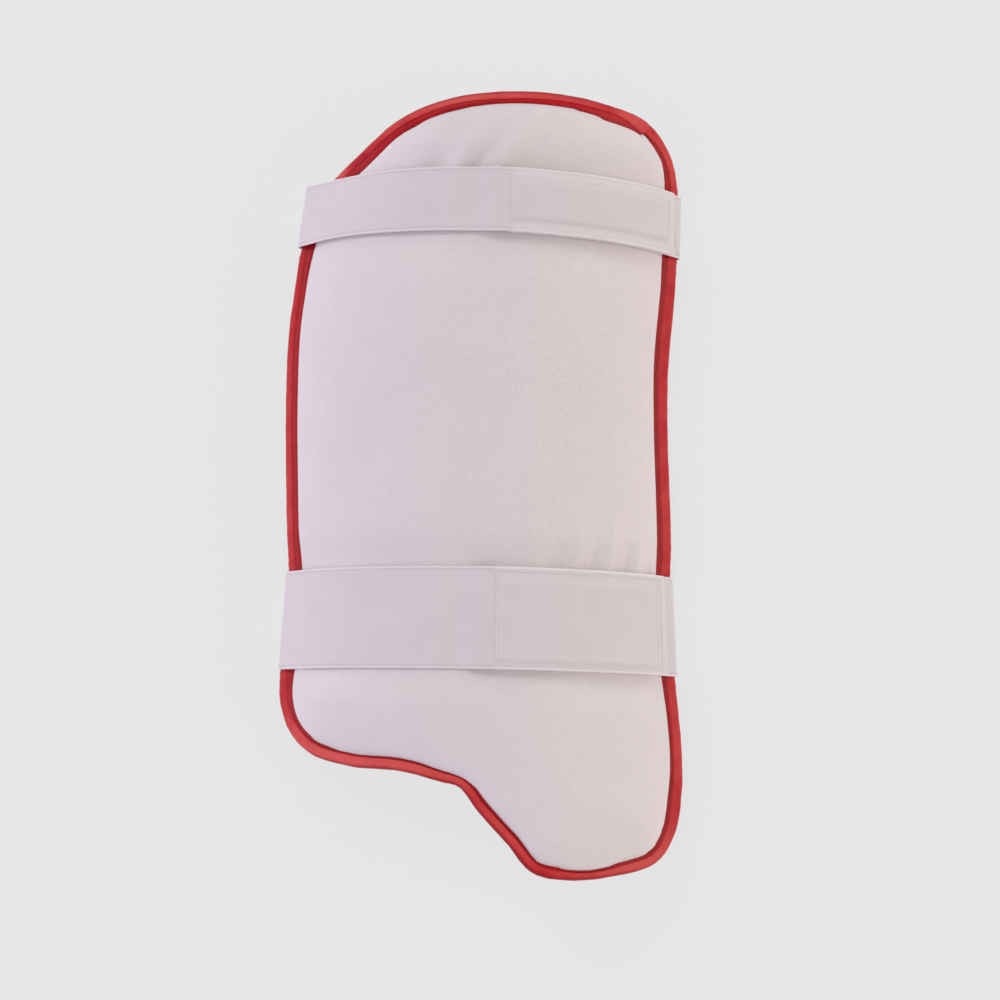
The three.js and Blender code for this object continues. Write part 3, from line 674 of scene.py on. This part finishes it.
def thread_bodies(start, end, out, radius):
    """Stitches as small arched bodies: a pole at each end, sunk in the cloth, and three rings between.

    The rings rise over the straight line as the parabola 4 s (1 - s).
    """
    SIDES, RISE, SINK = 5, 0.12 * MM, 0.15 * MM
    shares, sizes = np.array([0.12, 0.5, 0.88]), np.array([0.75, 1.0, 0.75])
    ahead = (end - start) / np.linalg.norm(end - start, axis=1)[:, None]
    side = np.cross(ahead, out)
    turn = 2 * math.pi * np.arange(SIDES) / SIDES
    middle = (start[:, None] + (end - start)[:, None] * shares[:, None]
              + out[:, None] * (RISE * 4 * shares * (1 - shares))[:, None])
    around = side[:, None] * np.cos(turn)[:, None] + out[:, None] * np.sin(turn)[:, None]
    rings = middle[:, :, None] + radius * sizes[:, None, None] * around[:, None]
    poles = np.stack([start - out * SINK, end - out * SINK], axis=1)
    points = np.concatenate([rings.reshape(len(start), -1, 3), poles], axis=1)
    at = np.arange(3 * SIDES).reshape(3, SIDES)
    after = np.roll(at, -1, axis=1)
    quads = np.stack([at[:-1], at[1:], after[1:], after[:-1]], axis=-1).reshape(-1, 4)
    pole = np.full(SIDES, 3 * SIDES)
    first = np.stack([at[0], after[0], pole, pole], axis=1)
    last = np.stack([after[2], at[2], pole + 1, pole + 1], axis=1)
    one = np.concatenate([quads, first, last])
    faces = one[None] + np.arange(len(start))[:, None, None] * points.shape[1]
    return points.reshape(-1, 3), [tuple(dict.fromkeys(face)) for face in faces.reshape(-1, 4).tolist()]


pick = np.arange(0, len(edge), STATION_STEP)
run, whole = run_along(edge[pick])
count = int(whole / STITCH_PITCH)
near, far = (np.interp(np.arange(count) * STITCH_PITCH + gap, run, np.arange(len(run)))
             for gap in (0, STITCH_LENGTH))
seam_row = tape_rings[:, int(np.abs(DOME_SHARES - SEAM_SHARE).argmin())]
seam_out = turned(nose_normal[pick], near)
start, end = turned(seam_row, near), turned(seam_row, far)
shown = under_strap(start[:, 1]) < 0.5
red_thread, tree = new_material("red_polyester_thread")
finish_material(tree, add_node(tree, "ShaderNodeBsdfPrincipled", {
    "Base Color": linear(THREAD_RED), "Roughness": 0.5, "Sheen Weight": 0.2}).outputs["BSDF"])
points, faces = thread_bodies(start[shown], end[shown], seam_out[shown], STITCH_RADIUS)
new_piece("binding_stitches", points, faces, red_thread)

# Elastic straps
# Two flat woven elastics with a corded selvage on both edges. Each starts in front, right of the
# crown, goes round the back, and comes over its own start, where hook tape holds it. A row of
# stitches round its patch, or two on the wide strap, holds the tape and the turned-in outer end.
LAYER_STEP = STRAP_THICKNESS + TAPE_THICKNESS + 2 * FIT_GAP
EDGE_ROUND = STRAP_THICKNESS / 2
# Inset of the folds, climb onto the inner layer, gap left at an end, and the turned-in hem
STRAP_TAPER, LAYER_RAMP, CLEAR, HEM_FOLD = 3.5 * MM, 18 * MM, 2 * MM, 1.3 * MM
# Steps between a band's points along it and across it, and its close places from each edge
STRAP_STEP, ACROSS_STEP = 0.9 * MM, 2.4 * MM
EDGE_STEPS = np.array([0, 0.05, 0.2, 0.4, 0.65, 0.95, 1.25, 1.6, 1.95, 2.3, 2.8, 3.4]) * MM
END_STEPS = EDGE_STEPS[:5]
SELVAGE = ((0.13, 0.75, 0.45), (-0.08, 1.6, 0.4), (0.039, 2.6, 0.5))  # height, place, half width, mm
FRONT_CLEARANCE = 3 * MM  # how far over the flat edge the loop's front starts


def nose_span(y):
    """Lowest and highest x of the nose line at a level."""
    return np.interp(y, left_side[:, 1], left_side[:, 0]), np.interp(y, right_side[:, 1], right_side[:, 0])


def bearing_points(y, folds):
    """What a strap bears on at a level: the pad's front, the binding's lips and nose, and the folds."""
    SAMPLES, ROUND_SAMPLES, LIP_REACH = 240, 180, 6.4 * MM
    left, right = nose_span(y)
    across = np.linspace(left, right, SAMPLES)
    level = np.full_like(across, y)
    front = np.column_stack([across, arch(across, level)])
    front += arch_normal(across, level)[:, [0, 2]] * pad_halves(across, level)[0][:, None]
    turn = np.linspace(0, 2 * math.pi, ROUND_SAMPLES, endpoint=False)
    circle = NOSE_RADIUS * np.column_stack([np.sin(turn), np.cos(turn)])
    near = np.abs(nose_centre[:, 1] - y) < LIP_REACH
    lips = (nose_centre + nose_along * lip[:, None] + nose_normal * NOSE_RADIUS)[near][:, [0, 2]]
    centres = [(left, arch(left, y)), (right, arch(right, y)),
               (min(left, folds[0]), EDGE_HEIGHT), (max(right, folds[1]), EDGE_HEIGHT)]
    return np.concatenate([front, lips] + [circle + np.array([float(a), float(b)]) for a, b in centres])


def strap_loop(strap):
    """Loop that a strap takes, at its lower and upper edge: the meeting points of its tangent lines.

    For each direction a line touches what the strap bears on. It stands off by what bulges between
    the strap's edges: all of it in front, half at the folds and nothing behind. The loop starts at
    the right end of the flat back and goes behind to the left, then over the front to the right.
    """
    LEVELS, DIRECTIONS, LEAST_SHARE, EASE = 9, 1440, 0.1, 1.2 * MM
    low = strap["middle"] - strap["width"] / 2
    levels = low + strap["width"] * np.linspace(0, 1, LEVELS)
    spans = [nose_span(y) for y in levels]
    folds = (min(left for left, _ in spans) + STRAP_TAPER, max(right for _, right in spans) - STRAP_TAPER)
    angle = math.pi + 2 * math.pi * np.arange(DIRECTIONS) / DIRECTIONS
    normals = np.column_stack([np.sin(angle), np.cos(angle)])
    reach = np.stack([(bearing_points(y, folds) @ normals.T).max(axis=0) for y in levels]) + FIT_GAP
    lower, upper = reach[0], reach[-1]
    short = (reach - lower - (upper - lower) * np.linspace(0, 1, LEVELS)[:, None]).max(axis=0)
    share = (1 + normals[:, 1]) / 2
    stand_off = (short / np.maximum(share, LEAST_SHARE)).max() * share
    before = np.roll(normals, 1, axis=0)
    cross = before[:, 0] * normals[:, 1] - before[:, 1] * normals[:, 0]
    edges = []
    for out in (lower + stand_off, upper + stand_off):
        last = np.roll(out, 1)
        edges.append(np.column_stack([
            (last * normals[:, 1] - out * before[:, 1]) / cross,
            (before[:, 0] * out - normals[:, 0] * last) / cross]))
    run, whole = run_along((edges[0] + edges[1]) / 2)
    count = round(whole / STRAP_STEP)
    even = np.arange(count) * whole / count
    ripple = np.exp(-2 * (math.pi * np.fft.rfftfreq(count, whole / count) * EASE) ** 2)[:, None]
    run = np.append(run, whole)
    closed = [np.vstack([line, line[:1]]) for line in edges]
    spaced = [np.column_stack([np.interp(even, run, line[:, axis]) for axis in (0, 1)]) for line in closed]
    return [np.fft.irfft(np.fft.rfft(line, axis=0) * ripple, n=count, axis=0) for line in spaced], whole


def strap_level(strap, across, x):
    """Level of a place across a strap, which runs a little askew from its left to its right fold."""
    return strap["middle"] - strap["width"] / 2 + across + np.interp(
        x, (-PANEL_WIDTH / 2, PANEL_WIDTH / 2), strap["fold_rise"])


def front_run(loop, whole, across):
    """Length along the loop to the place on its front at a distance right of the crown."""
    middle = (loop[0] + loop[1]) / 2
    front = np.flatnonzero(middle[:, 1] > EDGE_HEIGHT + FRONT_CLEARANCE)
    return np.interp(across, middle[front, 0], front * whole / len(middle))


def across_places(width, steps):
    """Places across a band: close together near both edges, and even between them."""
    count = round((width - 2 * steps[-1]) / ACROSS_STEP)
    middle = np.linspace(steps[-1], width - steps[-1], count)
    return np.concatenate([steps[:-1], middle, (width - steps[:-1])[::-1]])


def edges_at(loop, whole, along, shift=None):
    """Places of a band's lower and upper edge, each moved along its own line by its shift."""
    at = (along % whole) / whole * len(loop[0])
    lower_shift, upper_shift = shift(along) if shift else (0, 0)
    return turned(loop[0], at + lower_shift), turned(loop[1], at + upper_shift)


def end_shift(loop, whole, begin, finish, inset):
    """Shift that brings both corners of the outer end to one inset from the fold.

    It eases in from begin to finish as 3v^2 - 2v^3.
    """
    wanted = []
    for line in loop:
        front = np.flatnonzero(line[:, 1] > EDGE_HEIGHT + FRONT_CLEARANCE)
        wanted.append(np.interp(line[:, 0].max() - inset, line[front, 0], front))
    end = (finish % whole) / whole * len(loop[0])

    def shift(along):
        """Each corner's way to its place, eased in along the band."""
        eased = smooth_step((along - begin) / (finish - begin))
        return [(place - end) * eased for place in wanted]
    return shift


def band_rings(strap, loop, whole, along, lift, thickness, margins, relief, shift=None):
    """Rings of a band that follows the loop: outer face from low to high, and inner face back.

    The band's thickness closes in a half circle at its long edges and at its two ends. Relief gives
    what both faces and what the outer face alone rise, at each place along and across.
    """
    places = across_places(strap["width"] - sum(margins), EDGE_STEPS)
    lower, upper = edges_at(loop, whole, along, shift)
    ahead = sum(edges_at(loop, whole, along + STRAP_STEP / 2, shift))
    step = ahead - sum(edges_at(loop, whole, along - STRAP_STEP / 2, shift))
    out = np.column_stack([-step[:, 1], step[:, 0]]) / np.linalg.norm(step, axis=1)[:, None]
    share = ((places + margins[0]) / strap["width"])[None, :, None]
    flat = lower[:, None] * (1 - share) + upper[:, None] * share
    from_edge = np.minimum(places, places[-1] - places)
    from_end = np.minimum(along - along[0], along[-1] - along)
    half = thickness / 2 * np.sqrt(1 - np.clip(1 - from_edge / EDGE_ROUND, 0, 1) ** 2)[None]
    half = half * np.sqrt(1 - np.clip(1 - from_end / EDGE_ROUND, 0, 1) ** 2)[:, None]
    both, outer = relief(along, places, from_edge)
    outer = outer - np.max(outer) * ((1 - out[:, 1]) / 2)[:, None]
    base = lift(along)[:, None] + thickness / 2 + both
    faces = []
    for height in (base + half + outer * (half > thickness / 4), base - half):
        plane = flat + out[:, None] * height[..., None]
        y = strap_level(strap, margins[0] + places, plane[..., 0])
        faces.append(np.stack([plane[..., 0], y, plane[..., 1]], axis=-1))
    return np.concatenate([faces[0], faces[1][:, ::-1]], axis=1)


def stations(start, end):
    """Even steps from start to end, with close ones at both ends."""
    inset = EDGE_STEPS[len(END_STEPS)]
    between = np.arange(start + inset, end - inset, STRAP_STEP)
    return np.concatenate([start + END_STEPS, between, (end - END_STEPS)[::-1]])


def box_distance(along, places, box):
    """How far inside a box along and across the band a place is; outside it is negative."""
    start, end, low, high = box
    beside = np.minimum(along - start, end - along)[:, None]
    return np.minimum(beside, np.minimum(places - low, high - places)[None])


def sewn_relief(box, hem, rows):
    """Relief of the whole strap, as the sum of bells and smooth steps.

    Both edges have a corded selvage. On the outer layer the margins drop off the patch, each row
    of stitches sinks in, and the hem stands up.
    """
    SEAM_SINK, SEAM_HALF = 0.06 * MM, 0.5 * MM
    DROP, DROP_WIDTH, DROP_AHEAD, DROP_EASE = 0.5 * MM, 1.4 * MM, 26 * MM, 18 * MM
    HEM, HEM_EASE = 0.3 * MM, 1.2 * MM

    def relief(along, places, from_edge):
        """What both faces rise, and what the outer face alone rises."""
        inside = box_distance(along, places, box)
        on_top = smooth_step((along - box[0] + DROP_AHEAD) / DROP_EASE)[:, None]
        both = -DROP * on_top * (1 - smooth_step(inside / DROP_WIDTH + 1))
        outer = 0 * inside
        for height, place, half_width in SELVAGE:
            outer = outer + height * MM * bell(from_edge - place * MM, half_width * MM)
        for row in rows:
            outer = outer - SEAM_SINK * bell(inside - row, SEAM_HALF)
        folded = smooth_step((along - hem) / HEM_EASE)[:, None]
        return both, outer + HEM * folded * smooth_step(from_edge / MM)
    return relief


def band_tone_and_light(along, places, from_edge, box, rows, covered):
    """Tone of a strap from 0, dark, to 1, white, as the sum of bells about an even tone.

    The selvages get a painted highlight and their grooves painted shade, and a stitch row gets painted
    shade where it sinks in and a painted highlight just inside it. The margins beside the patch are
    lighter, and the inner layer gets a painted shadow where the outer one ends, at the length given
    as covered.
    """
    EVEN, MARGIN, MARGIN_EASE = 0.47, 0.15, 4 * MM
    EDGE_BELLS = ((0.4, 0.5, 0.45), (-0.12, 1.6, 0.4))  # tone, place in mm, half width in mm
    SEAM_BELLS = ((-0.08, 0.0, 0.4), (0.12, 0.9, 0.4))
    # Painted shadow on the inner layer where the outer layer ends
    END_SHADOW, END_SHADOW_PLACE, END_SHADOW_HALF = 0.25, 0.8 * MM, 0.9 * MM
    inside = box_distance(along, places, box)
    tone = EVEN + 0 * inside
    for change, place, half_width in EDGE_BELLS:
        tone = tone + change * bell(from_edge - place * MM, half_width * MM)
    for row in rows:
        for change, place, half_width in SEAM_BELLS:
            tone = tone + change * bell(inside - row - place * MM, half_width * MM)
    past_start = smooth_step((along - box[0]) / MARGIN_EASE)[:, None]
    tone = tone + MARGIN * past_start * smooth_step(-inside / MM)
    tone = tone - END_SHADOW * bell(along - covered - END_SHADOW_PLACE, END_SHADOW_HALF)[:, None]
    return np.clip(tone, 0, 1)


def stitch_row(strap, loop, whole, start, end, lift, shift):
    """Stitches of a straight row between two places, each (along, across), on the strap's outer face."""
    PITCH, LENGTH = 2.6 * MM, 1.7 * MM
    start, end = np.array(start), np.array(end)
    reach = np.linalg.norm(end - start)
    first = np.arange(PITCH / 2, reach - PITCH / 2, PITCH)
    ends = []
    for offset in (first, first + LENGTH):
        place = start + (end - start) * (offset / reach)[:, None]
        share = (place[:, 1] / strap["width"])[:, None]
        lower, upper = edges_at(loop, whole, place[:, 0], shift)
        plane = lower * (1 - share) + upper * share
        step = edges_at(loop, whole, place[:, 0] + STRAP_STEP, shift)[0] - lower
        out = np.column_stack([-step[:, 1], step[:, 0]]) / np.linalg.norm(step, axis=1)[:, None]
        plane = plane + out * (lift(place[:, 0]) + STRAP_THICKNESS)[:, None]
        y = strap_level(strap, place[:, 1], plane[:, 0])
        ends.append(np.column_stack([plane[:, 0], y, plane[:, 1]]))
    return ends[0], ends[1], np.column_stack([out[:, 0], 0 * first, out[:, 1]])


# Woven polyester elastic: matt, with fine ribs along the strap where the rubber cords lie. The
# ribs are 0.7 mm apart on the real one and drawn at 1.3 mm, the finest that shows from here.
ELASTIC_LIGHT, ELASTIC_DARK = "#EDE5E8", "#E5DCE0"
# The strap's kept tone, which holds its painted highlight and shade, darkens it towards the first colour and
# lightens it towards the last.
TONE_SHADED, TONE_EVEN, TONE_WHITE = "#B9B0B6", "#F1F1F1", "#FFFFFF"
RIB_PITCH, CRIMP_PITCH, RIB_DEPTH = 1.3 * MM, 1.9 * MM, 0.06 * MM
STAINS_PER_METRE = 60.0
elastic, tree = new_material("woven_polyester_elastic")
place = add_node(tree, "ShaderNodeAttribute", attribute_name="run").outputs["Vector"]
weave = add_node(tree, "ShaderNodeBump", {
    "Height": woven_height(tree, place, CRIMP_PITCH, RIB_PITCH), "Strength": 0.5, "Distance": RIB_DEPTH})
stain = add_node(tree, "ShaderNodeTexNoise", {"Vector": place, "Scale": STAINS_PER_METRE, "Detail": 3.0})
base = add_node(tree, "ShaderNodeMix", data_type="RGBA")
tree.links.new(stain.outputs["Fac"], base.inputs[0])
base.inputs[6].default_value = linear(ELASTIC_DARK)
base.inputs[7].default_value = linear(ELASTIC_LIGHT)
kept_tone = add_node(tree, "ShaderNodeSeparateXYZ", {"Vector": place}).outputs["Z"]
shade = add_node(tree, "ShaderNodeValToRGB", {"Fac": kept_tone})
for stop, colour in zip(shade.color_ramp.elements, (TONE_SHADED, TONE_WHITE)):
    stop.color = linear(colour)
shade.color_ramp.elements.new(0.5).color = linear(TONE_EVEN)
tone = add_node(tree, "ShaderNodeMix", data_type="RGBA", blend_type="MULTIPLY")
tone.inputs[0].default_value = 1.0
tree.links.new(base.outputs[2], tone.inputs[6])
tree.links.new(shade.outputs["Color"], tone.inputs[7])
finish_material(tree, add_node(tree, "ShaderNodeBsdfPrincipled", {
    "Base Color": tone.outputs[2], "Roughness": 0.85, "Specular IOR Level": 0.3,
    "Sheen Weight": 0.25, "Sheen Roughness": 0.4, "Normal": weave.outputs["Normal"]}).outputs["BSDF"])

# Moulded nylon hook tape: dull white, rough with hooks 1.5 mm apart.
HOOK_WHITE, HOOK_PITCH, HOOK_HEIGHT = "#E2DADF", 1.5 * MM, 0.3 * MM
hooks, tree = new_material("moulded_nylon_hooks")
place = add_node(tree, "ShaderNodeAttribute", attribute_name="run").outputs["Vector"]
studs = add_node(tree, "ShaderNodeBump", {
    "Height": woven_height(tree, place, HOOK_PITCH, HOOK_PITCH), "Strength": 0.8, "Distance": HOOK_HEIGHT})
finish_material(tree, add_node(tree, "ShaderNodeBsdfPrincipled", {
    "Base Color": linear(HOOK_WHITE), "Roughness": 0.6, "Normal": studs.outputs["Normal"]}).outputs["BSDF"])

# Spun polyester thread, a shade darker than the elastic, so that the stitches just show.
THREAD_WHITE, THREAD_RADIUS = "#E6DDE1", 0.1 * MM
white_thread, tree = new_material("white_polyester_thread")
finish_material(tree, add_node(tree, "ShaderNodeBsdfPrincipled", {
    "Base Color": linear(THREAD_WHITE), "Roughness": 0.5, "Sheen Weight": 0.3}).outputs["BSDF"])


def add_run(piece, along, across, tone):
    """Keep on the piece how far along and across the band each of its points lies, and its tone with its
    painted light and shade.
    """
    run = np.zeros((len(along), 2 * len(across), 3))
    run[..., 0], run[..., 1] = along[:, None], np.concatenate([across, across[::-1]])
    run[..., 2] = np.concatenate([tone, tone[:, ::-1]], axis=1)
    piece.data.attributes.new("run", "FLOAT_VECTOR", "POINT").data.foreach_set("vector", run.ravel())


for name, strap in STRAPS.items():
    loop, whole = strap_loop(strap)
    seams, margins, width = strap["seams"], strap["margins"], strap["width"]
    right_fold = np.minimum(loop[0][:, 0], loop[1][:, 0]).max()
    end_x = right_fold - strap["end_inset"]
    ramp_x = strap["lap"] - CLEAR - LAYER_RAMP
    begin, finish = front_run(loop, whole, strap["lap"]), whole + front_run(loop, whole, end_x)
    patch_end = whole + front_run(loop, whole, end_x - HEM_FOLD)

    def lift(along):
        """Height over the loop: nothing in the first turn, then a smooth climb onto the inner layer."""
        return LAYER_STEP * smooth_step((along - whole - front_run(loop, whole, ramp_x)) / LAYER_RAMP)

    def tape_lift(along):
        """The hook tape lies on the inner layer."""
        return np.full_like(along, STRAP_THICKNESS + FIT_GAP)

    shift = end_shift(loop, whole, whole + begin, finish, strap["end_inset"])
    box = (whole + begin, patch_end, margins[0], width - margins[1])
    along = stations(begin, finish)
    rings = band_rings(strap, loop, whole, along, lift, STRAP_THICKNESS, (0, 0),
                       sewn_relief(box, patch_end, seams), shift)
    band = new_piece(f"{name}_elastic_strap", rings, ring_faces(*rings.shape[:2], closed=False).tolist(),
                     elastic, f"{name}_strap")
    across = across_places(width, EDGE_STEPS)
    from_edge = np.minimum(across, across[-1] - across)
    # The strap's tone: painted highlight on the selvages, painted shade in their grooves and at the stitch
    # rows, and a painted shadow where the outer layer ends.
    add_run(band, along, across, band_tone_and_light(along, across, from_edge, box, seams, finish - whole))

    along = stations(begin, front_run(loop, whole, end_x - CLEAR))
    rings = band_rings(strap, loop, whole, along, tape_lift, TAPE_THICKNESS, margins,
                       lambda along, places, from_edge: (0, 0))
    tape = new_piece(f"{name}_hook_patch", rings, ring_faces(*rings.shape[:2], closed=False).tolist(),
                     hooks, f"{name}_hook_tape")
    across = across_places(width - sum(margins), EDGE_STEPS)
    add_run(tape, along, across, np.full((len(along), len(across)), 0.5))

    rows = []
    for inset in seams:
        near, far, low, high = box[0] + inset, box[1] - inset, box[2] + inset, box[3] - inset
        corners = [(near, low), (far, low), (far, high), (near, high), (near, low)]
        rows += [stitch_row(strap, loop, whole, a, b, lift, shift) for a, b in zip(corners, corners[1:])]
    start, end, out = (np.concatenate(part) for part in zip(*rows))
    points, faces = thread_bodies(start, end, out, THREAD_RADIUS)
    new_piece(f"{name}_strap_stitches", points, faces, white_thread)
